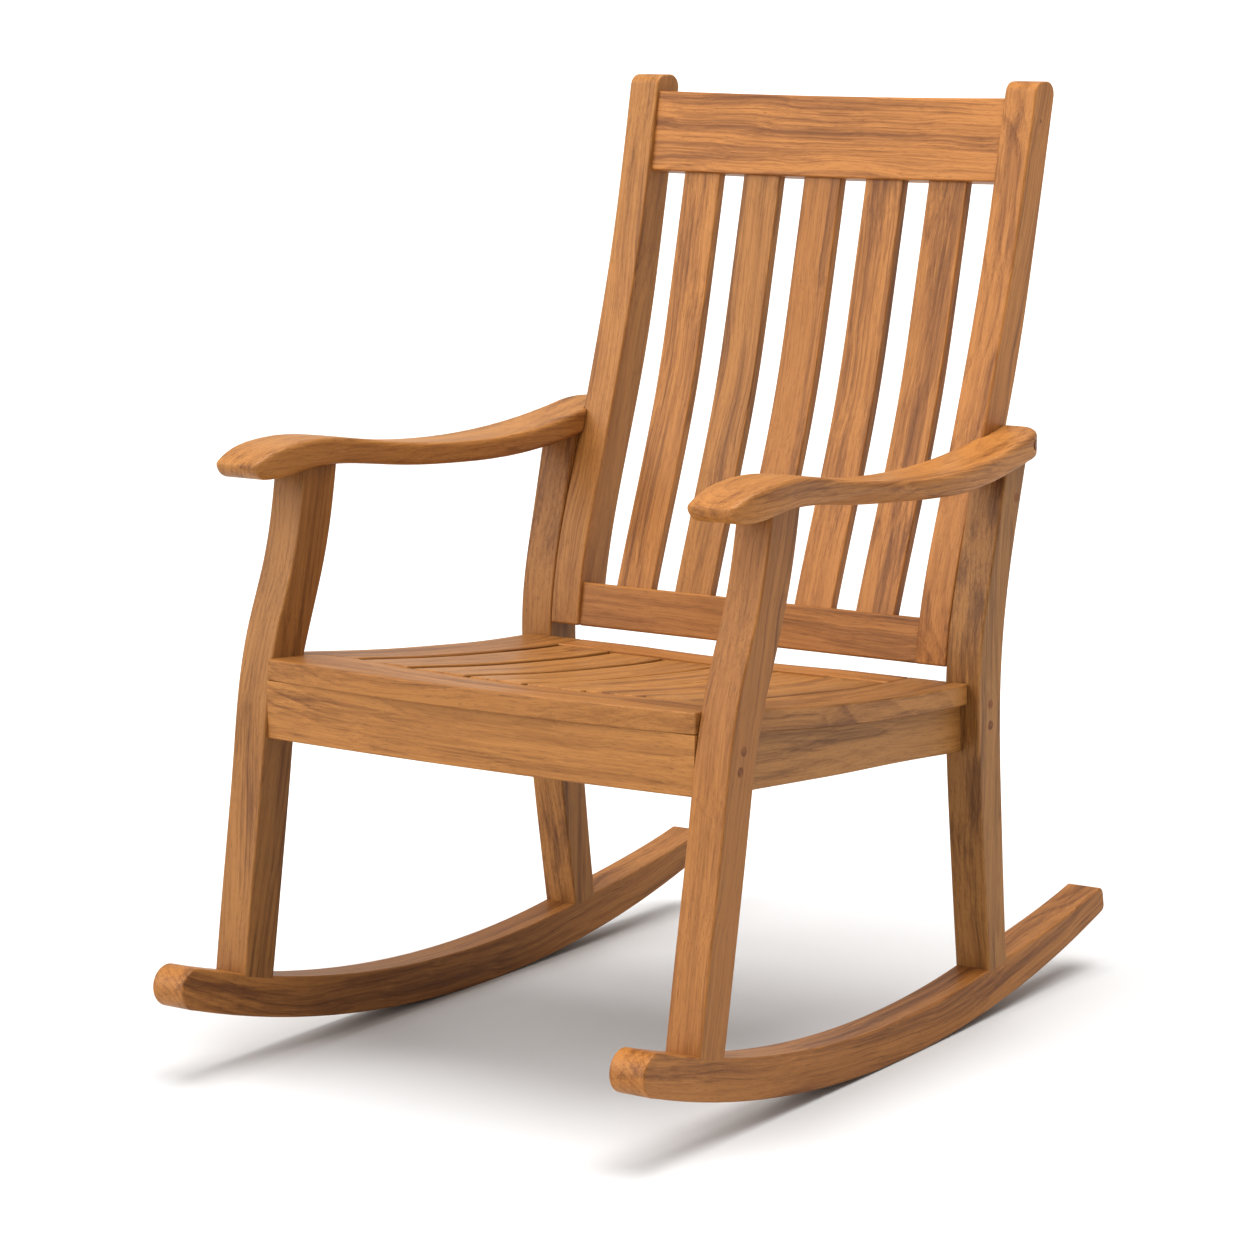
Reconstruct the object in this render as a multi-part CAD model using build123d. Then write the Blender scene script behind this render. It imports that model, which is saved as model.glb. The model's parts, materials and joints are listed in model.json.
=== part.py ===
from build123d import *
import math
import os

# Teak rocking chair. Millimetres, +Z up. The chair faces -Y; right (+X) and left are as seen from in front.
# It is drawn with Y measured from the lowest point of the rockers, then rolled on them to where
# it balances. Last, the origin goes to the middle of its base.

# ---- side frames: rocker, two legs and back post lie in one plane on each side ----
LEG_T = 45.4  # thickness of rockers and legs
POST_T = 41.4  # thickness of the back posts, inside the rear legs
HALF_GAP = 279.7  # from the middle to a leg's inner face, at the floor and Y = 0
TOE_IN = 1.56  # degrees, each side frame closes towards the back
LEAN_OUT = 0.93  # degrees, each side frame leans outwards as it rises
ARRIS = 2.6  # softened edges of the frame

# ---- rockers ----
ROCK_R = 1454.6  # radius of the running edge
ROCK_H = 46.6  # depth of a rocker
ROCK_FRONT = -412.0  # where the running edge meets the rounded nose
ROCK_NOSE = (-432.0, 84.0)  # foremost place of the nose
ROCK_TAPER = 262.0  # behind the rear leg a rocker gets slimmer
ROCK_BACK = 512.0
ROCK_BACK_TOP = 122.0
ROCK_BACK_SLANT = 6.0  # the rear end is cut a little slanting
ROCK_BACK_R = 8.0

# ---- legs and back posts: front and rear edge of each, as (Y, Z) ----
FRONT_LEG_FRONT = [(-337, 50), (-318, 180), (-296, 320), (-284, 400),
                   (-267, 465), (-238, 540), (-216, 640), (-207, 700)]
FRONT_LEG_REAR = [(-291, 50), (-269, 180), (-247, 320), (-233, 400),
                  (-212, 465), (-185, 540), (-163, 640), (-155, 700)]
REAR_LEG_FRONT = [(252, 40), (243, 100), (226, 220), (212, 340), (211, 440), (232, 540), (259, 650), (270, 700)]
REAR_LEG_REAR = [(292, 40), (283, 100), (270, 220), (259, 340), (259, 440), (274, 540), (301, 650), (312, 700)]
POST_FRONT = [(208, 390), (222, 500), (260, 620), (302, 750), (338, 880), (364, 1000), (382, 1090)]
POST_REAR = [(256, 390), (272, 500), (309, 620), (351, 750), (382, 880), (407, 1000), (425, 1090)]
POST_BOTTOM = 418.0
POST_TOP = 1066.0
POST_TOP_R = 15.0

# ---- back frame ----
TOP_RAIL_LOW = (359, 955)  # front bottom edge at its ends
TOP_RAIL_HIGH = (376, 1049)  # front top edge at its ends
TOP_RAIL_T = 29.0
TOP_RAIL_BOW = 5.0  # the middle lies further back, and a little lower
TOP_RAIL_DIP = 3.0
LOW_RAIL_LOW = (212, 418)
LOW_RAIL_HIGH = (220.5, 469)
LOW_RAIL_T = 34.0
TENON_T = 10.0
TENON_L = 24.0
TENON_H = 34.0  # of the front apron
SLAT_FRONT = [(220, 440), (229.5, 469), (282, 616), (311, 705), (346, 850), (369, 955), (374, 980)]
SLAT_T = 12.0
SLAT_W = 52.5
SLAT_PITCH = 87.0  # at the top rail
SLAT_PITCH_LOW = 85.5  # at the bottom rail
SLAT_SET_IN = 12.0  # how far a slat's end goes into a rail
BACK_SLATS = 5

# ---- arms ----
ARM_TOP = [(-303, 652), (-292, 657.5), (-268, 666), (-233, 672), (-193, 674), (-153, 671), (-95, 663),
           (-40, 656), (20, 651.5), (85, 650), (140, 652), (200, 658), (255, 667), (295, 675.5), (330, 684)]
ARM_UNDER = [(330, 654), (274, 643), (222, 634), (167, 628), (100, 625), (30, 626), (-40, 629.5),
             (-110, 637), (-171, 642), (-215, 640.5), (-262, 634.5), (-284, 634.5)]
ARM_INNER = [(-310, 294), (-283, 291.5), (-243, 289), (-190, 289), (-130, 291), (-70, 290.5), (0, 284),
             (80, 277), (160, 275), (240, 275), (327, 277)]
ARM_OUTER = [(327, 336), (290, 339), (235, 344), (170, 350), (95, 354), (20, 352), (-50, 349), (-120, 351),
             (-190, 357), (-240, 360), (-283, 357), (-310, 350)]
ARM_NOSE = (-297, 641)  # between top and underside, in front
ARM_END_R = 33.0
ARM_ARRIS = 5.0

# ---- seat ----
SEAT_TOP = [(-330, 436.5), (-281, 435), (-193, 429.5), (-140, 424), (-86, 418.5), (-21, 413), (37, 409),
            (112, 404.5), (162, 403), (240, 402.5)]
SEAT_T = 24.0
SEAT_BACK = 208.0  # rear edge, against the rear legs
FRONT_BOARD_ENDS = -280.0
FRONT_BOARD_BOW = 28.0
FRONT_BOARD_REAR = -198.0
REAR_BOARD_FRONT = 162.0
SIDE_BOARD_OUT = 31.0  # past the legs' inner face
SIDE_BOARD_FRONT = -250.0  # its front end is let into the front leg
SLOT_W = 7.0
SLOT_PITCH_FRONT = 80.5
SLOT_PITCH_REAR = 77.0
SEAT_SLATS = 6
SEAT_HOLLOW = 6.0  # the middle of the seat is this much lower than its sides in front
SEAT_HOLLOW_REAR = 3.0  # and this much at the back
BOARD_ARRIS = 2.2
EDGE_ARRIS = 2.0  # of the back slats and aprons

# ---- aprons and parts under the seat ----
APRON_T = 24.0  # front and rear aprons
SIDE_APRON_OUT = 21.5  # side aprons run from the legs' inner face to here
SIDE_APRON_UNDER = [(-260, 347), (-120, 339.5), (-22, 334.5), (80, 330.5), (173, 325.5), (260, 321)]
SIDE_TENON = [(-262, 362), (-262, 392), (236, 366), (236, 340)]
FRONT_APRON_FACE = -284.0
FRONT_APRON_BOW = 12.0
FRONT_APRON_UNDER = 346.0
REAR_APRON_FACE = 183.0
REAR_APRON_UNDER = 326.0
BATTEN_W = 36.0
BATTEN_H = 22.0
BATTENS = {"front": -70.0, "rear": 80.0}
CORNER_LEG = 52.0
CORNER_H = 36.0
CORNER_UP = 6.0  # above the underside of the apron

# ---- fasteners ----
PLUG_R = 5.4
PLUG_L = 7.0
SCREW_R = 2.5
PIN_R = 2.4
PIN_L = 12.0
DOWEL_R = 5.0
# (Y, Z) on the outer face of a leg, and how far past the leg's inner face the screw goes
LEG_PLUGS = [(-261, 396, 20), (-267, 375, 20), (234, 377, -3), (235.5, 353, -3), (279, 606, 20)]
LEG_PINS = [(238, 391), (275.5, 591), (240, 458)]
ARM_PLUG = (304, 664, 20)
ARM_SCREW_HEAD = 43.4  # how far out the screw through the arm ends
POST_PIN = (387, 1022)
# middle of each dowel as (Y, Z), with its reach down and up
ROCKER_DOWELS = [(-321, 84), (-297, 80), (254, 71), (278, 75)]
ROCKER_DOWEL_REACH = (27, 30)
ARM_DOWELS = [(-191, 641), (276, 643)]
ARM_DOWEL_REACH = (32, 17)
BOARD_SCREW_R = 2.0
BOARD_SCREW_HEAD = 4.0  # radius of its head
BOARD_SCREW_L = 37.0
BOARD_HEAD_L = 3.0

FAR = 900.0  # larger than half the chair


def flat(points):
    """A curve through points that lie in a side view or a plan."""
    return Spline(*points)


def band(front, rear):
    """The face between two edges given bottom to top."""
    back = list(reversed(rear))
    edges = flat(front) + Line(front[-1], back[0]) + flat(back) + Line(back[-1], front[0])
    return make_face(edges)


def across(face):
    """A side view made solid over the chair's whole width."""
    return extrude(Plane.YZ * face, amount=FAR, both=True)


def slab(near, far):
    """The space between two distances outwards from the right-hand legs' inner plane."""
    wide = Box(far - near, 4 * FAR, 4 * FAR, align=(Align.MIN, Align.CENTER, Align.CENTER))
    return Pos(HALF_GAP, 0, 0) * Rot(0, LEAN_OUT, TOE_IN) * Pos(near, 0, 0) * wide


def between(part, distance):
    """What of a part lies between both side frames, up to a distance from the legs' inner planes."""
    right = slab(distance, distance + FAR)
    return part - right - mirror(right, Plane.YZ)


def soften(part, radius):
    """Round every edge."""
    return fillet(part.edges(), radius)


def biggest(part):
    """The largest of a cut part's pieces."""
    return Part() + max(part.solids(), key=lambda s: s.volume)


def arc_z(radius, y):
    return ROCK_R - math.sqrt(radius**2 - y**2)


def side_point(distance, y, z):
    """A place at a distance outwards from the right-hand legs' inner plane."""
    x = HALF_GAP + distance - y * math.tan(math.radians(TOE_IN)) + z * math.tan(math.radians(LEAN_OUT))
    return Location((x, y, z), (0, LEAN_OUT, TOE_IN))


def side_rod(radius, near, far, place):
    """A rod square to the side frame, between two distances outwards, at (Y, Z)."""
    rod = Cylinder(radius, far - near, align=(Align.CENTER, Align.CENTER, Align.MIN))
    return side_point(near, *place) * Rot(0, 90, 0) * rod


def rocker_outline():
    top_r = ROCK_R - ROCK_H
    nose_end = ROCK_FRONT + 8
    nose_top = (nose_end, arc_z(top_r, nose_end))
    nose_low = (ROCK_FRONT, arc_z(ROCK_R, ROCK_FRONT))
    back_low = (ROCK_BACK, arc_z(ROCK_R, ROCK_BACK))
    back_top = (ROCK_BACK - ROCK_BACK_SLANT, ROCK_BACK_TOP)
    taper = (ROCK_TAPER, arc_z(top_r, ROCK_TAPER))
    slope = ROCK_TAPER / top_r
    running = ThreePointArc(nose_low, (0, 0), back_low)
    back = Line(back_low, back_top)
    slim = Spline(back_top, taper, tangents=[(-1, -0.29), (-1, -slope)])
    top = ThreePointArc(taper, (0, ROCK_H), nose_top)
    nose = ThreePointArc(nose_top, ROCK_NOSE, nose_low)
    face = make_face(running + back + slim + top + nose)
    corners = [v for v in face.vertices() if v.X > ROCK_BACK - 2 * ROCK_BACK_SLANT]
    return fillet(corners, ROCK_BACK_R)


def make_rocker():
    return soften(across(rocker_outline()) & slab(0, LEG_T), ARRIS)


def make_leg(front, rear):
    return soften(across(band(front, rear)) & slab(0, LEG_T), ARRIS)


def make_post():
    face = band(POST_FRONT, POST_REAR)
    keep = Pos(0, (POST_BOTTOM + POST_TOP) / 2) * Rectangle(2 * FAR, POST_TOP - POST_BOTTOM)
    face = face & keep
    face = fillet([v for v in face.vertices() if v.Y > POST_TOP - 1], POST_TOP_R)
    return soften(across(face) & slab(-POST_T, 0), ARRIS)


def make_arm():
    nose = ThreePointArc(ARM_UNDER[-1], ARM_NOSE, ARM_TOP[0])
    side = make_face(flat(ARM_TOP) + Line(ARM_TOP[-1], ARM_UNDER[0]) + flat(ARM_UNDER) + nose)
    inner = [(x, y) for y, x in ARM_INNER]
    outer = [(x, y) for y, x in ARM_OUTER]
    plan = make_face(flat(inner) + Line(inner[-1], outer[0]) + flat(outer) + Line(outer[-1], inner[0]))
    rear_corner = [v for v in plan.vertices() if v.X > HALF_GAP + LEG_T / 2 and v.Y > 0]
    plan = fillet(rear_corner, ARM_END_R)
    solid = across(side) & extrude(plan, amount=FAR)
    return soften(solid, ARM_ARRIS)


def rail(low, high, thickness, bow=0.0, dip=0.0, inset=0.0):
    """A rail over the whole width, leaning like the back posts, its middle bowed back and dipped."""
    lean = math.atan2(high[0] - low[0], high[1] - low[1])
    height = math.hypot(high[0] - low[0], high[1] - low[1]) - inset
    half = HALF_GAP + LEG_T
    near, far = inset, thickness - inset
    if not bow:
        body = Pos(0, (near + far) / 2, (height + inset) / 2) * Box(2 * half, far - near, height - inset)
        return Pos(0, *low) * Rot(-math.degrees(lean), 0, 0) * body
    front = ThreePointArc((-half, near), (0, near + bow), (half, near))
    rear = ThreePointArc((half, far), (0, far + bow), (-half, far))
    plan = make_face(front + Line((half, near), (half, far)) + rear + Line((-half, far), (-half, near)))
    under = ThreePointArc((-half, inset), (0, inset - dip), (half, inset))
    top = ThreePointArc((half, height), (0, height - dip), (-half, height))
    ends = (Line((half, inset), (half, height)), Line((-half, height), (-half, inset)))
    outline = make_face(under + ends[0] + top + ends[1])
    body = extrude(plan, amount=FAR, both=True) & extrude(Plane.XZ * outline, amount=FAR, both=True)
    return Pos(0, *low) * Rot(-math.degrees(lean), 0, 0) * body


def make_rail(low, high, thickness, bow=0.0, dip=0.0):
    body = between(soften(rail(low, high, thickness, bow, dip), ARRIS), -POST_T)
    tenon = between(rail(low, high, thickness, bow, dip, (thickness - TENON_T) / 2), TENON_L - POST_T)
    return biggest(body + tenon)


def make_back_slat(n):
    """A slat counted from the middle one. They spread a little towards the top rail."""
    rear = [(y + SLAT_T, z - SLAT_T / 4) for y, z in SLAT_FRONT]
    side = Plane.YZ * band(SLAT_FRONT, rear)
    slat = soften(extrude(side, amount=SLAT_W / 2, both=True), EDGE_ARRIS)
    ends = (LOW_RAIL_HIGH[1] - SLAT_SET_IN, TOP_RAIL_LOW[1] + SLAT_SET_IN)
    keep = Pos(0, 0, sum(ends) / 2) * Box(2 * SLAT_W, 2 * FAR, ends[1] - ends[0])
    spread = math.degrees(math.atan(n * (SLAT_PITCH - SLAT_PITCH_LOW) / (ends[1] - ends[0])))
    return Pos(n * SLAT_PITCH, 0, ends[1]) * Rot(0, spread, 0) * Pos(0, 0, -ends[1]) * (slat & keep)


def seat_blank(drop=0.0, thickness=SEAT_T):
    """The whole seat as one curved sheet."""
    top = [(y, z - drop) for y, z in SEAT_TOP]
    under = [(y, z - thickness) for y, z in top]
    return across(make_face(flat(top) + Line(top[-1], under[-1]) + flat(under) + Line(under[0], top[0])))


def scoop(front, rear):
    """The hollow across the seat: a very wide cylinder that dips to a line in the side view."""
    radius = (3 * SLOT_PITCH_REAR) ** 2 / (2 * SEAT_HOLLOW)
    slope = math.degrees(math.atan2(rear[1] - front[1], rear[0] - front[0]))
    return Pos(0, *front) * Rot(slope, 0, 0) * Pos(0, 0, radius) * Rot(90, 0, 0) * Cylinder(radius, 2 * FAR)


def slot_x(n, y):
    """Middle of a slot, counted from the middle of the seat."""
    along = (y - FRONT_BOARD_REAR) / (REAR_BOARD_FRONT - FRONT_BOARD_REAR)
    return n * (SLOT_PITCH_FRONT + along * (SLOT_PITCH_REAR - SLOT_PITCH_FRONT))


def strip(left, right, front, rear):
    """A vertical prism whose sides are given as functions of Y."""
    corners = [(left(front), front), (right(front), front), (right(rear), rear), (left(rear), rear)]
    return extrude(make_face(Polyline(*corners, close=True)), amount=FAR)


def make_seat_slat(n):
    middle = slot_x(n + 0.5, 0) / slot_x(3, 0)
    blank = seat_blank((SEAT_HOLLOW + SEAT_HOLLOW_REAR) / 2 * (1 - middle**2))
    plan = strip(lambda y: slot_x(n, y) + SLOT_W / 2, lambda y: slot_x(n + 1, y) - SLOT_W / 2,
                 FRONT_BOARD_REAR, REAR_BOARD_FRONT)
    return soften(blank & plan, BOARD_ARRIS)


def make_front_board():
    half = HALF_GAP + LEG_T
    ends = FRONT_BOARD_ENDS
    lip = ends - FRONT_BOARD_BOW
    rear = FRONT_BOARD_REAR
    front = ThreePointArc((-half, ends), (0, lip), (half, ends))
    edges = front + Polyline((half, ends), (half, rear), (-half, rear), (-half, ends))
    dip = scoop((lip, SEAT_TOP[0][1]), (rear, SEAT_TOP[2][1] - SEAT_HOLLOW))
    board = between(seat_blank() & extrude(make_face(edges), amount=FAR), 0)
    return soften(board, BOARD_ARRIS) - dip


def make_rear_board():
    edge = SLOT_W / 2
    plan = strip(lambda y: slot_x(-3, y) - edge, lambda y: slot_x(3, y) + edge, REAR_BOARD_FRONT, SEAT_BACK)
    level = SEAT_TOP[-2][1] - SEAT_HOLLOW_REAR
    return soften(seat_blank() & plan, BOARD_ARRIS) - scoop((REAR_BOARD_FRONT, level), (SEAT_BACK, level))


def make_side_board(front_leg, rear_leg):
    plan = strip(lambda y: slot_x(3, y) + SLOT_W / 2, lambda y: FAR, SIDE_BOARD_FRONT, SEAT_BACK)
    board = (seat_blank() & plan) - slab(SIDE_BOARD_OUT, FAR)
    corner = (Pos(0, FRONT_BOARD_REAR - FAR, 0) * Box(2 * FAR, 2 * FAR, 2 * FAR)) - slab(0, FAR)
    return soften(biggest(board - corner - front_leg - rear_leg), BOARD_ARRIS)


def make_side_apron(front_leg, rear_leg):
    top = [(y, z - SEAT_T) for y, z in SEAT_TOP]
    face = make_face(flat(SIDE_APRON_UNDER) + Line(SIDE_APRON_UNDER[-1], top[-1]) + flat(top)
                     + Line(top[0], SIDE_APRON_UNDER[0]))
    board = (across(face) & slab(0, SIDE_APRON_OUT)) - front_leg - rear_leg
    middle = SIDE_APRON_OUT / 2
    thick = slab(middle - TENON_T / 2, middle + TENON_T / 2)
    tenon = across(make_face(Polyline(*SIDE_TENON, close=True))) & thick
    return soften(biggest(board), EDGE_ARRIS) + tenon


def make_front_apron():
    half = HALF_GAP + LEG_T
    face = FRONT_APRON_FACE
    back = face + APRON_T
    front = ThreePointArc((-half, face), (0, face - FRONT_APRON_BOW), (half, face))
    rear = ThreePointArc((half, back), (0, back - FRONT_APRON_BOW), (-half, back))
    plan = make_face(front + Line((half, face), (half, back)) + rear + Line((-half, back), (-half, face)))
    board = Pos(0, 0, FRONT_APRON_UNDER) * extrude(plan, amount=SEAT_TOP[0][1] - FRONT_APRON_UNDER)
    seat = [(y, z - SEAT_T) for y, z in SEAT_TOP[:3]]
    room = across(make_face(Polyline((-FAR, 0), (-FAR, seat[0][1]), *seat, (seat[-1][0], 0), close=True)))
    board = between(soften(board, EDGE_ARRIS), 0) & room
    tenon = Pos(0, (face + back) / 2, FRONT_APRON_UNDER + TENON_H) * Box(2 * FAR, TENON_T, TENON_H)
    stub = between(tenon, TENON_L) - between(tenon, -TENON_L)
    return board + stub


def make_rear_apron():
    back = REAR_APRON_FACE + APRON_T
    height = SEAT_TOP[-3][1] - SEAT_T - SEAT_HOLLOW - 1 - REAR_APRON_UNDER
    middle = (0, (REAR_APRON_FACE + back) / 2, REAR_APRON_UNDER + height / 2)
    board = between(Pos(*middle) * Box(2 * FAR, APRON_T, height), 0)
    tenon = between(Pos(*middle) * Box(2 * FAR, TENON_T, height - TENON_T), SIDE_APRON_OUT / 2)
    return soften(board, EDGE_ARRIS) + tenon


def make_batten(y):
    """A bearer that follows the underside of the seat boards."""
    top = seat_blank(SEAT_T, 2 * BATTEN_H)
    level = [z for at, z in SEAT_TOP if at > y][0]
    bar = Pos(0, y, 0) * Box(2 * FAR, BATTEN_W, 2 * FAR)
    under = level - SEAT_T - SEAT_HOLLOW - BATTEN_H
    below = Pos(0, y, under - FAR) * Box(2 * FAR, 2 * BATTEN_W, 2 * FAR)
    return between(bar & top, 0) - below


def make_corner_block(y, z, turn):
    """A triangular glue block in the right-hand corner of two aprons."""
    place = side_point(0, y, z)
    shape = make_face(Polyline((0, 0), (-CORNER_LEG, 0), (0, turn * CORNER_LEG), close=True))
    return place * extrude(shape, amount=CORNER_H)


def both(solids):
    """The right-hand pieces and their mirror images."""
    return [*solids, *(mirror(s, Plane.YZ) for s in solids)]


def touching(part, tools):
    """The tools whose boxes meet the part's."""
    box = part.bounding_box()
    found = []
    for tool in tools:
        other = tool.bounding_box()
        apart = any(getattr(box.min, a) > getattr(other.max, a) or getattr(other.min, a) > getattr(box.max, a)
                    for a in "XYZ")
        if not apart:
            found.append(tool)
    return found


def upright(place, reach, radius):
    y, z = place
    rod = Cylinder(radius, sum(reach), align=(Align.CENTER, Align.CENTER, Align.MIN))
    return Location(side_point(LEG_T / 2, y, z).position) * Pos(0, 0, -reach[0]) * rod


def rods_and_plugs(leg_blanks, arm_blank, post_blank):
    """Screws, plugs, locking pins and dowels of the right-hand side, by node name."""
    screws, plugs, pins = [], [], []
    for y, z, past in LEG_PLUGS:
        screws.append(side_rod(SCREW_R, -past, LEG_T - PLUG_L, (y, z)))
        plug = side_rod(PLUG_R, LEG_T - PLUG_L, 2 * LEG_T, (y, z))
        plugs.append(plug & leg_blanks[0 if y < 0 else 1])
    y, z, past = ARM_PLUG
    screws.append(side_rod(SCREW_R, -past, ARM_SCREW_HEAD, (y, z)))
    plugs.append(side_rod(PLUG_R, ARM_SCREW_HEAD, 2 * LEG_T, (y, z)) & arm_blank)
    for place in LEG_PINS:
        pins.append(side_rod(PIN_R, LEG_T - PIN_L, LEG_T, place) & leg_blanks[1])
    pins.append(side_rod(PIN_R, -PIN_L * 2, 0, POST_PIN) & post_blank)
    dowels = [upright(p, ROCKER_DOWEL_REACH, DOWEL_R) for p in ROCKER_DOWELS]
    arm_dowels = [upright(p, ARM_DOWEL_REACH, DOWEL_R) for p in ARM_DOWELS]
    return {"side_screws": screws, "wood_plugs": plugs, "joint_pins": pins,
            "rocker_dowels": dowels, "arm_dowels": arm_dowels}


def batten_screws():
    """Screws driven up through the battens, one into each seat board."""
    found = []
    for y in BATTENS.values():
        level = [z for at, z in SEAT_TOP if at > y][0] - SEAT_T - SEAT_HOLLOW - BATTEN_H
        for n in range(-SEAT_SLATS // 2 - 1, SEAT_SLATS // 2 + 1):
            x = slot_x(n + 0.5, y)
            standing = (Align.CENTER, Align.CENTER, Align.MIN)
            head = Cylinder(BOARD_SCREW_HEAD, BOARD_HEAD_L, align=standing)
            shank = Cylinder(BOARD_SCREW_R, BOARD_SCREW_L, align=standing)
            found.append(Pos(x, y, level) * (head + shank))
    return found


def cut(part, tools):
    """Let the tools that reach a part into it."""
    for tool in touching(part, tools):
        part = part - tool
    return part


def build_sides(central, hardware, blanks):
    """The right-hand pieces, let into each other, with their holes for the hardware."""
    rocker, post, arm, front_blank, rear_blank = blanks
    front_leg = biggest(front_blank - rocker - arm)
    rear_leg = biggest(rear_blank - rocker - arm)
    side_apron = make_side_apron(front_leg, rear_leg)
    block_front = make_corner_block(FRONT_APRON_FACE + APRON_T, FRONT_APRON_UNDER + CORNER_UP, 1)
    block_rear = make_corner_block(REAR_APRON_FACE, REAR_APRON_UNDER + CORNER_UP, -1)
    rails = [central["top_rail"], central["bottom_rail"]]
    right = {
        "rocker": rocker,
        "front_leg": cut(front_leg, [side_apron, central["front_apron"]]),
        "rear_leg": cut(rear_leg, [side_apron]),
        "back_post": cut(post, rails),
        "arm": arm,
        "side_apron": cut(side_apron, [central["rear_apron"]]),
        "seat_side_board": make_side_board(front_leg, rear_leg),
        "corner_block_front": cut(block_front, [front_leg, side_apron]),
        "corner_block_rear": cut(block_rear, [rear_leg, side_apron]),
    }
    rods = [rod for group in hardware.values() for rod in group]
    return {name: cut(part, rods) for name, part in right.items()}


def build_middle():
    """The pieces that lie across the middle of the chair."""
    slats = {f"back_slat_{n + 1}": make_back_slat(n - (BACK_SLATS - 1) / 2) for n in range(BACK_SLATS)}
    boards = {f"seat_slat_{n + 1}": make_seat_slat(n - SEAT_SLATS // 2) for n in range(SEAT_SLATS)}
    top_rail = make_rail(TOP_RAIL_LOW, TOP_RAIL_HIGH, TOP_RAIL_T, TOP_RAIL_BOW, TOP_RAIL_DIP)
    bottom_rail = make_rail(LOW_RAIL_LOW, LOW_RAIL_HIGH, LOW_RAIL_T)
    middle = {
        "top_rail": cut(top_rail, slats.values()),
        "bottom_rail": cut(bottom_rail, slats.values()),
        "seat_front_board": make_front_board(),
        "seat_rear_board": make_rear_board(),
        "front_apron": make_front_apron(),
        "rear_apron": make_rear_apron(),
    }
    for name, y in BATTENS.items():
        middle["seat_batten_" + name] = cut(make_batten(y), boards.values())
    return middle | slats | boards


def balance(parts):
    """How the chair sits: rolled back about the centre of its rockers until it balances."""
    volume = sum(p.volume for p in parts)
    weight = sum((p.center(CenterOf.MASS) * p.volume for p in parts), Vector(0, 0, 0)) / volume
    roll = math.degrees(math.atan2(weight.Y, ROCK_R - weight.Z))
    print(f"rolled back by {roll:.3f} degrees")
    return Pos(0, 0, ROCK_R) * Rot(-roll, 0, 0) * Pos(0, 0, -ROCK_R)


def main():
    post = make_post()
    arm_blank = make_arm()
    front_blank = make_leg(FRONT_LEG_FRONT, FRONT_LEG_REAR)
    rear_blank = make_leg(REAR_LEG_FRONT, REAR_LEG_REAR)
    low, high = POST_FRONT[0], POST_FRONT[-1]
    behind = make_face(flat(POST_FRONT) + Polyline(high, (FAR, high[1]), (FAR, low[1]), low))
    arm = biggest(arm_blank - (across(behind) & slab(-2 * POST_T, 0)))
    hardware = rods_and_plugs((front_blank, rear_blank), arm_blank, post)

    middle = build_middle()
    right = build_sides(middle, hardware, (make_rocker(), post, arm, front_blank, rear_blank))
    groups = {name: both(rods) for name, rods in hardware.items()}
    groups["seat_screws"] = batten_screws()
    rods = [rod for group in groups.values() for rod in group]
    parts = {name: cut(part, rods) for name, part in middle.items()}
    for name, part in right.items():
        whole = cut(part, groups["seat_screws"])
        parts[name + "_right"] = whole
        parts[name + "_left"] = mirror(whole, Plane.YZ)

    rolled = balance(parts.values())
    parts |= {name: Compound([s for rod in rods for s in rod.solids()]) for name, rods in groups.items()}
    nodes = {name: rolled * Compound(list(part.solids())) for name, part in parts.items()}
    box = Compound(list(nodes.values())).bounding_box()
    origin = Pos(0, -(box.min.Y + box.max.Y) / 2, -box.min.Z)
    print(f"origin moved {origin.position.Y:.3f} mm")
    os.makedirs("parts", exist_ok=True)
    for name, node in nodes.items():
        export_step(origin * node, f"parts/{name}.step")


if __name__ == "__main__":
    main()
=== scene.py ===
import json
import math
import random

import bmesh
import bpy
import numpy as np
from mathutils import Matrix, Vector


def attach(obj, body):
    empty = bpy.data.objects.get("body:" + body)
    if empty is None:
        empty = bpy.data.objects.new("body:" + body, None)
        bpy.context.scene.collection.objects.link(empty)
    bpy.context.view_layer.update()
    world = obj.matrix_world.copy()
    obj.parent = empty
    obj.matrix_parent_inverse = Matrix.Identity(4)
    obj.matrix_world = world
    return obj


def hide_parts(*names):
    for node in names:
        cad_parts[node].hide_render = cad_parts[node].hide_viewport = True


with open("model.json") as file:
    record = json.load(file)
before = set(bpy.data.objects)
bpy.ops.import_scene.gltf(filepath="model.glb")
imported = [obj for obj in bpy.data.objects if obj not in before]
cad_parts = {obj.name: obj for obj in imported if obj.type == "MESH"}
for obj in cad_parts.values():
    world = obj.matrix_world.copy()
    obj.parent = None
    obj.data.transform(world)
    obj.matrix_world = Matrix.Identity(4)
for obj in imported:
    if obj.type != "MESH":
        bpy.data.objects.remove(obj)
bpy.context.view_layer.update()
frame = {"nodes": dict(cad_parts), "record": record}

# ---- camera: degrees, and metres in the chair's own frame ----
CAMERA_AZIMUTH = 37.322
CAMERA_DOWN = 11.052
CAMERA_ROLL = -1.886
CAMERA_PLACE = (2.9269, -3.87002, 1.40974)
LENS = 126.3
SENSOR = 36.0

# ---- wood: sizes in metres ----
RING = 0.0062  # mean spacing of the growth rings
SWAY = 0.03  # how far rings and streaks wander
PITH_NEAR, PITH_FAR = 0.035, 0.14  # how far the heart of the tree lies from a board
RUN_OUT = 1.6  # degrees, how far fibres may lean out of a piece's own line
FLAT_SAWN = 0.6  # share of the pieces with the heart below their wide face
SHARP = math.radians(38)
ROCKER_RADIUS = 1.4546  # a rocker's fibres follow its running edge
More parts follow.
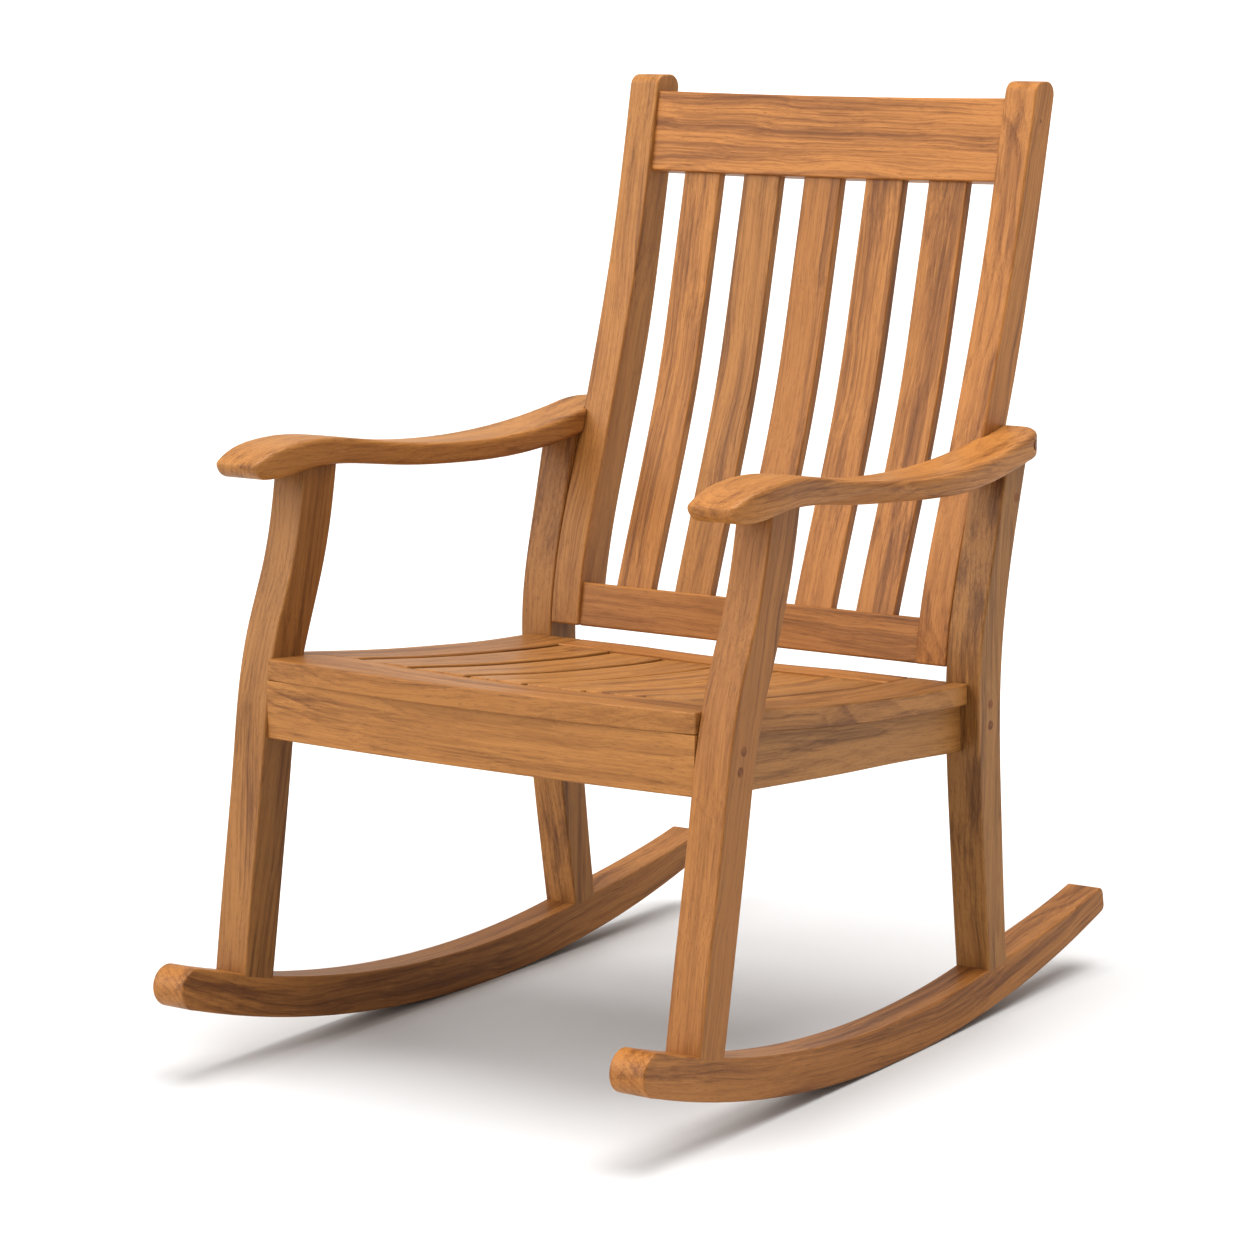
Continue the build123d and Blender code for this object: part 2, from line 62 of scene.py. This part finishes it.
# light, dark and streak colour, and roughness
WOODS = {
    "teak": ((0.372, 0.173, 0.049), (0.195, 0.076, 0.018), (0.088, 0.029, 0.009), 0.44),
    "teak_plug": ((0.235, 0.088, 0.023), (0.13, 0.043, 0.010), (0.055, 0.017, 0.005), 0.5),
    "teak_inside": ((0.30, 0.145, 0.046), (0.17, 0.070, 0.020), (0.08, 0.030, 0.010), 0.6),
}
# how light each kind of piece is beside the others: partly each piece's own tone and partly painted shade
# and light, with the low front legs darker and the top rail lighter
TONE_AND_SHADE_LEVELS = {"top_rail": 1.14, "front_leg": 0.84, "back_post": 1.04, "back_slat_1": 1.10, "back_slat_3": 0.93,
          "front_apron": 1.05, "seat_front_board": 0.95, "rocker": 0.95, "arm": 1.03, "rear_leg": 0.95}

# ---- floor and light ----
FLOOR = 60.0  # half its width
SURROUND = 0.68  # strength of the even light from all sides
VIEW_GAMMA = 0.85

# ---- arms: the hollow under the outer side, as shares of the arm's length and height ----
ARM_VOXEL = 0.0022
WAIST = (0.18, 0.45, 0.74)  # where it starts, is deepest and ends, from the front
WAIST_HEIGHT = 0.66
WAIST_DEPTH = 0.017
WELD = 2e-6  # points of the CAD mesh closer than this are one


# ---------------------------------------------------------------- shader help
class Graph:
    """A material's nodes, written as short calls."""

    def __init__(self, name):
        self.material = bpy.data.materials.new(name)
        self.material.use_nodes = True
        self.tree = self.material.node_tree
        self.tree.nodes.clear()

    def add(self, kind, settings=None, **inputs):
        made = self.tree.nodes.new("ShaderNode" + kind)
        for key, value in (settings or {}).items():
            setattr(made, key, value)
        for key, value in inputs.items():
            self.feed(made, key.replace("_", " ") if not key.startswith("i") else int(key[1:]), value)
        return made

    def feed(self, made, key, value):
        socket = made.inputs[key]
        if isinstance(value, bpy.types.NodeSocket):
            self.tree.links.new(value, socket)
        else:
            socket.default_value = value

    def math(self, operation, a, b=0.0, c=0.0, clamp=False):
        made = self.add("Math", {"operation": operation, "use_clamp": clamp}, i0=a, i1=b, i2=c)
        return made.outputs[0]

    def vector(self, operation, a, b):
        made = self.add("VectorMath", {"operation": operation}, i0=a, i1=b)
        return made.outputs[0]

    def noise(self, at, scale=1.0, detail=2.0, rough=0.5):
        made = self.add("TexNoise", Vector=at, Scale=scale, Detail=detail, Roughness=rough)
        return made.outputs["Fac"]

    def ramp(self, value, stops):
        made = self.add("ValToRGB", Fac=value)
        elements = made.color_ramp.elements
        while len(elements) < len(stops):
            elements.new(0.5)
        for element, (place, colour) in zip(elements, stops):
            element.position = place
            element.color = (*colour, 1) if len(colour) == 3 else (colour[0],) * 3 + (1,)
        return made.outputs["Color"]

    def mix(self, share, a, b, blend="MIX"):
        made = self.add("Mix", {"data_type": "RGBA", "blend_type": blend, "clamp_factor": True})
        self.feed(made, 0, share)
        self.feed(made, 6, a if isinstance(a, bpy.types.NodeSocket) else (*a, 1))
        self.feed(made, 7, b if isinstance(b, bpy.types.NodeSocket) else (*b, 1))
        return made.outputs[2]


def stretched(graph, at, along, across):
    return graph.vector("MULTIPLY", at, (along, across, across))


def wood_material(name, light, dark, streak, rough):
    """Solid teak: rings round a heart line, fibres, pores and dark heartwood streaks.

    The mesh carries the attribute grain, metres along the fibres and across from the heart, and a per-piece
    vector:
    lightness, partly the piece's own tone and partly painted shade or light, then warmth and amount of
    streaks."""
    g = Graph(name)
    grain = g.add("Attribute", {"attribute_name": "grain"}).outputs["Vector"]
    tone_and_shade_vector = g.add("SeparateXYZ", i0=g.add("Attribute", {"attribute_name": "tone_and_shade_vector"}).outputs["Vector"])

    sway = g.noise(stretched(g, grain, 4.2, 8.0), detail=2.0)
    drift = g.math("MULTIPLY", g.math("SUBTRACT", sway, 0.5), SWAY)
    apart = g.add("SeparateXYZ", i0=grain)
    radius = g.math("SQRT", g.math("ADD", g.math("POWER", apart.outputs["Y"], 2.0),
                                   g.math("POWER", apart.outputs["Z"], 2.0)))
    rings = g.math("FRACT", g.math("MULTIPLY", g.math("ADD", radius, drift), 1 / RING))
    ring = g.ramp(rings, [(0.0, (0.0,)), (0.55, (0.25,)), (0.90, (1.0,)), (1.0, (0.0,))])

    waved = g.add("CombineXYZ", i0=apart.outputs["X"], i1=g.math("ADD", apart.outputs["Y"], drift),
                  i2=g.math("ADD", apart.outputs["Z"], drift)).outputs[0]
    fibre = g.noise(stretched(g, waved, 8.0, 480.0), detail=3.0, rough=0.6)
    band = g.noise(stretched(g, waved, 1.7, 62.0), detail=4.0, rough=0.55)
    patch = g.noise(stretched(g, waved, 1.2, 17.0), detail=2.0)
    pores = g.noise(stretched(g, waved, 60.0, 1500.0), detail=1.0)

    ring_share = g.math("MULTIPLY", ring, patch)
    lines = g.math("MULTIPLY", g.math("SUBTRACT", fibre, 0.45), 1.35)
    depth = g.math("ADD", g.math("MULTIPLY", ring_share, 0.62), lines)
    depth = g.math("ADD", depth, g.math("MULTIPLY", g.math("SUBTRACT", band, 0.44), 1.9), clamp=True)
    colour = g.mix(depth, light, dark)

    vein_at = g.math("ADD", band, g.math("MULTIPLY", g.math("SUBTRACT", patch, 0.5), 0.75))
    vein_at = g.math("ADD", vein_at, g.math("MULTIPLY", g.math("SUBTRACT", fibre, 0.5), 0.30))
    vein_at = g.math("ADD", vein_at, g.math("MULTIPLY", ring_share, 0.08))
    vein_at = g.math("ADD", vein_at, g.math("MULTIPLY", tone_and_shade_vector.outputs["Z"], 0.10))
    vein = g.ramp(vein_at, [(0.54, (0.0,)), (0.80, (1.0,))])
    colour = g.mix(g.math("MULTIPLY", vein, 0.52), colour, streak)

    pore = g.ramp(pores, [(0.60, (0.0,)), (0.70, (1.0,))])
    colour = g.mix(g.math("MULTIPLY", pore, 0.35), colour, tuple(c * 0.55 for c in streak))

    warm = g.mix(g.math("ADD", tone_and_shade_vector.outputs["Y"], 0.5, clamp=True), (0.92, 1.0, 1.10), (1.08, 0.98, 0.86))
    colour = g.mix(1.0, colour, warm, "MULTIPLY")
    # darken or lighten the whole piece by its lightness: random own tone plus painted shade or light
    shade_and_tone = g.add("CombineXYZ", i0=tone_and_shade_vector.outputs["X"], i1=tone_and_shade_vector.outputs["X"], i2=tone_and_shade_vector.outputs["X"]).outputs[0]
    colour = g.mix(1.0, colour, shade_and_tone, "MULTIPLY")

    height = g.math("SUBTRACT", g.math("MULTIPLY", fibre, 0.6), g.math("MULTIPLY", pore, 0.8))
    bump = g.add("Bump", Strength=0.22, Distance=0.0006, Height=height)
    gloss = g.math("ADD", rough - 0.08, g.math("MULTIPLY", fibre, 0.16))
    shader = g.add("BsdfPrincipled", Base_Color=colour, Roughness=gloss, Normal=bump.outputs[0])
    shader.inputs["Specular IOR Level"].default_value = 0.28
    shader.inputs["Coat Weight"].default_value = 0.03
    shader.inputs["Coat Roughness"].default_value = 0.32
    out = g.add("OutputMaterial")
    g.tree.links.new(shader.outputs[0], out.inputs["Surface"])
    return g.material


def metal_material():
    g = Graph("stainless")
    at = g.add("TexCoord").outputs["Object"]
    scratch = g.noise(g.vector("MULTIPLY", at, (900.0, 900.0, 60.0)), detail=2.0)
    shader = g.add("BsdfPrincipled", Base_Color=(0.55, 0.54, 0.52, 1), Metallic=1.0,
                   Roughness=g.math("ADD", g.math("MULTIPLY", scratch, 0.25), 0.22))
    out = g.add("OutputMaterial")
    g.tree.links.new(shader.outputs[0], out.inputs["Surface"])
    return g.material


# ---------------------------------------------------------------- wooden pieces
def long_axes(points):
    """A piece's own axes, longest first."""
    spread = points - points.mean(0)
    values, vectors = np.linalg.eigh(spread.T @ spread)
    axes = vectors[:, ::-1].T
    if np.linalg.det(axes) < 0:
        axes[2] *= -1
    return axes


def set_attribute(mesh, name, values):
    attribute = mesh.attributes.new(name, "FLOAT_VECTOR", "POINT")
    attribute.data.foreach_set("vector", np.asarray(values, np.float32).ravel())


def lay_grain(piece, seed, shade_and_tone, curve):
    """Give a piece its own stretch of timber: place along the log, distance from the heart, and a lightness
    that is partly its own random tone and partly painted shade or light, with warmth and streak amount.

    Fibres run along the piece, or round a circle of radius curve above its lowest point."""
    dice = random.Random(seed)
    mesh = piece.data
    points = np.empty(len(mesh.vertices) * 3, np.float32)
    mesh.vertices.foreach_get("co", points)
    points = points.reshape(-1, 3).astype(float)
    axes = long_axes(points)
    tilt = Matrix.Rotation(math.radians(dice.uniform(-RUN_OUT, RUN_OUT)), 3, "Z")
    tilt = tilt @ Matrix.Rotation(math.radians(dice.uniform(-RUN_OUT, RUN_OUT)), 3, "Y")
    local = (points - points.mean(0)) @ (np.array(tilt) @ axes).T
    if curve:
        low = points[points[:, 2].argmin()]
        out, up = points[:, 1] - low[1], low[2] + curve - points[:, 2]
        local = np.stack([curve * np.arctan2(out, up), curve - np.hypot(out, up), points[:, 0] - low[0]], 1)
    far = dice.uniform(PITH_NEAR, PITH_FAR)
    turn = math.radians(dice.uniform(60, 120) if dice.random() < FLAT_SAWN else dice.uniform(-30, 30))
    local += np.array([dice.uniform(1, 40), far * math.cos(turn), far * math.sin(turn)])
    set_attribute(mesh, "grain", local)
    # lightness: the table's value, which is partly painted shade or light, times a small random tone of the
    # piece's own; then random warmth and streak amount
    piece_tone_and_shade = (shade_and_tone * dice.uniform(0.96, 1.04), dice.uniform(-0.35, 0.35), dice.uniform(-0.45, 0.45))
    set_attribute(mesh, "tone_and_shade_vector", np.tile(piece_tone_and_shade, (len(mesh.vertices), 1)))


def smooth_copy(node):
    """The CAD node's shape as a welded mesh, smooth over its curves and crisp at its corners."""
    work = bmesh.new()
    work.from_mesh(frame["nodes"][node].data)
    bmesh.ops.remove_doubles(work, verts=work.verts, dist=WELD)
    for edge in work.edges:
        edge.smooth = len(edge.link_faces) == 2 and edge.calc_face_angle(0) < SHARP
    for face in work.faces:
        face.smooth = True
        face.material_index = 0
    mesh = bpy.data.meshes.new("wood_" + node)
    work.to_mesh(mesh)
    work.free()
    piece = bpy.data.objects.new("wood_" + node, mesh)
    bpy.context.scene.collection.objects.link(piece)
    weigh = piece.modifiers.new("weigh", "WEIGHTED_NORMAL")
    weigh.keep_sharp = True
    weigh.weight = 90
    evaluated(piece)
    return piece


def evaluated(piece):
    """Replace a piece's mesh by what its modifiers make of it."""
    view = bpy.context.view_layer
    view.update()
    mesh = bpy.data.meshes.new_from_object(piece.evaluated_get(view.depsgraph))
    piece.modifiers.clear()
    piece.data = mesh


def along_arm(points, low, high, reach, span=48):
    """Least or greatest of a coordinate in slices along the arm, read back at each point."""
    share = np.clip((points[:, 1] - low) / (high - low), 0, 1)
    slices = np.minimum((share * span).astype(int), span - 1)
    found = np.array([reach(slices == n) for n in range(span)])
    return np.interp(share * span - 0.5, np.arange(span), found)


def sculpt_arm(piece, side):
    """Hollow the lower outer side of the waist, which leaves a soft arris that runs out at both ends."""
    remesh = piece.modifiers.new("even", "REMESH")
    remesh.mode = "VOXEL"
    remesh.voxel_size = ARM_VOXEL
    remesh.use_smooth_shade = True
    evaluated(piece)
    mesh = piece.data
    flat = np.empty(len(mesh.vertices) * 3, np.float32)
    mesh.vertices.foreach_get("co", flat)
    points = flat.reshape(-1, 3).astype(float)
    low, high = points[:, 1].min(), points[:, 1].max()
    out = points[:, 0] * side
    top = along_arm(points, low, high, lambda at: points[at, 2].max())
    under = along_arm(points, low, high, lambda at: points[at, 2].min())
    inner = along_arm(points, low, high, lambda at: out[at].min())
    outer = along_arm(points, low, high, lambda at: out[at].max())
    share = (points[:, 1] - low) / (high - low)
    start, peak, end = WAIST
    before = (share - start) / (peak - start)
    after = (end - share) / (end - peak)
    rise = np.clip(np.where(share < peak, before, after), 0, 1)
    rise = rise * rise * (3 - 2 * rise)
    height = (points[:, 2] - under) / (top - under)
    across = np.clip((out - inner) / (outer - inner), 0, 1)
    cut = np.clip(1 - height / np.maximum(WAIST_HEIGHT * rise, 1e-3), 0, 1)
    points[:, 0] -= side * WAIST_DEPTH * rise * cut * across
    mesh.vertices.foreach_set("co", points.astype(np.float32).ravel())
    mesh.update()
    for polygon in mesh.polygons:
        polygon.use_smooth = True


def stand_for(piece, node, material):
    piece.data.materials.clear()
    piece.data.materials.append(material)
    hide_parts(node)
    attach(piece, "root")


def build_wood():
    teak, plug, inside = (wood_material(name, *look) for name, look in WOODS.items())
    slots = {s["node"]: s["material_slot"] for s in frame["record"]["subparts"]}
    metal = metal_material()
    for seed, node in enumerate(sorted(frame["nodes"])):
        slot = slots[node]
        piece = smooth_copy(node)
        if node.startswith("arm_") and slot == "teak":
            sculpt_arm(piece, 1 if node.endswith("right") else -1)
        if slot != "screw_steel":
            # per-piece lightness, partly the piece's own tone and partly painted shade or light for where
            # it sits
            shade_and_tone = next((v for k, v in TONE_AND_SHADE_LEVELS.items() if node.startswith(k)), 1.0)
            curve = ROCKER_RADIUS if node.startswith("rocker_") and slot == "teak" else 0.0
            lay_grain(piece, 1000 + seed, shade_and_tone, curve)
        material = {"teak": teak, "teak_plug": plug, "teak_inside": inside}.get(slot, metal)
        stand_for(piece, node, material)


# ---------------------------------------------------------------- studio
def plain_floor():
    g = Graph("floor")
    at = g.add("TexCoord").outputs["Object"]
    speck = g.noise(at, scale=3.0, detail=2.0)
    colour = g.mix(speck, (0.60, 0.60, 0.60), (0.61, 0.61, 0.61))
    shader = g.add("BsdfPrincipled", Base_Color=colour, Roughness=0.9)
    shader.inputs["Specular IOR Level"].default_value = 0.1
    out = g.add("OutputMaterial")
    g.tree.links.new(shader.outputs[0], out.inputs["Surface"])
    mesh = bpy.data.meshes.new("floor")
    corners = [(-FLOOR, -FLOOR, 0), (FLOOR, -FLOOR, 0), (FLOOR, FLOOR, 0), (-FLOOR, FLOOR, 0)]
    mesh.from_pydata(corners, [], [(0, 1, 2, 3)])
    mesh.materials.append(g.material)
    floor = bpy.data.objects.new("floor", mesh)
    bpy.context.scene.collection.objects.link(floor)


def soft_sun(name, direction, spread, strength):
    """Even light from a wide patch of sky, the same all over the floor."""
    lamp = bpy.data.lights.new(name, "SUN")
    lamp.angle = math.radians(spread)
    lamp.energy = strength
    made = bpy.data.objects.new(name, lamp)
    made.rotation_euler = Vector(direction).to_track_quat("Z", "Y").to_euler()
    bpy.context.scene.collection.objects.link(made)


def light_studio():
    world = bpy.data.worlds.new("studio")
    world.use_nodes = True
    world.node_tree.nodes["Background"].inputs["Color"].default_value = (1, 1, 1, 1)
    world.node_tree.nodes["Background"].inputs["Strength"].default_value = SURROUND
    bpy.context.scene.world = world
    bpy.context.scene.view_settings.view_transform = "Standard"
    bpy.context.scene.view_settings.gamma = VIEW_GAMMA
    soft_sun("overhead", (0.12, 0.10, 1.0), 50, 3.5)
    soft_sun("front", (-0.50, -0.85, 0.62), 60, 2.5)


def place_camera():
    lens = bpy.data.cameras.new("camera")
    lens.lens = LENS
    lens.sensor_width = SENSOR
    lens.clip_end = 200
    made = bpy.data.objects.new("camera", lens)
    made.location = CAMERA_PLACE
    turn = Matrix.Rotation(math.radians(CAMERA_AZIMUTH), 4, "Z")
    tip = Matrix.Rotation(math.radians(90 - CAMERA_DOWN), 4, "X")
    roll = Matrix.Rotation(math.radians(CAMERA_ROLL), 4, "Z")
    made.rotation_euler = (turn @ tip @ roll).to_euler()
    bpy.context.scene.collection.objects.link(made)
    bpy.context.scene.camera = made


build_wood()
plain_floor()
light_studio()
place_camera()
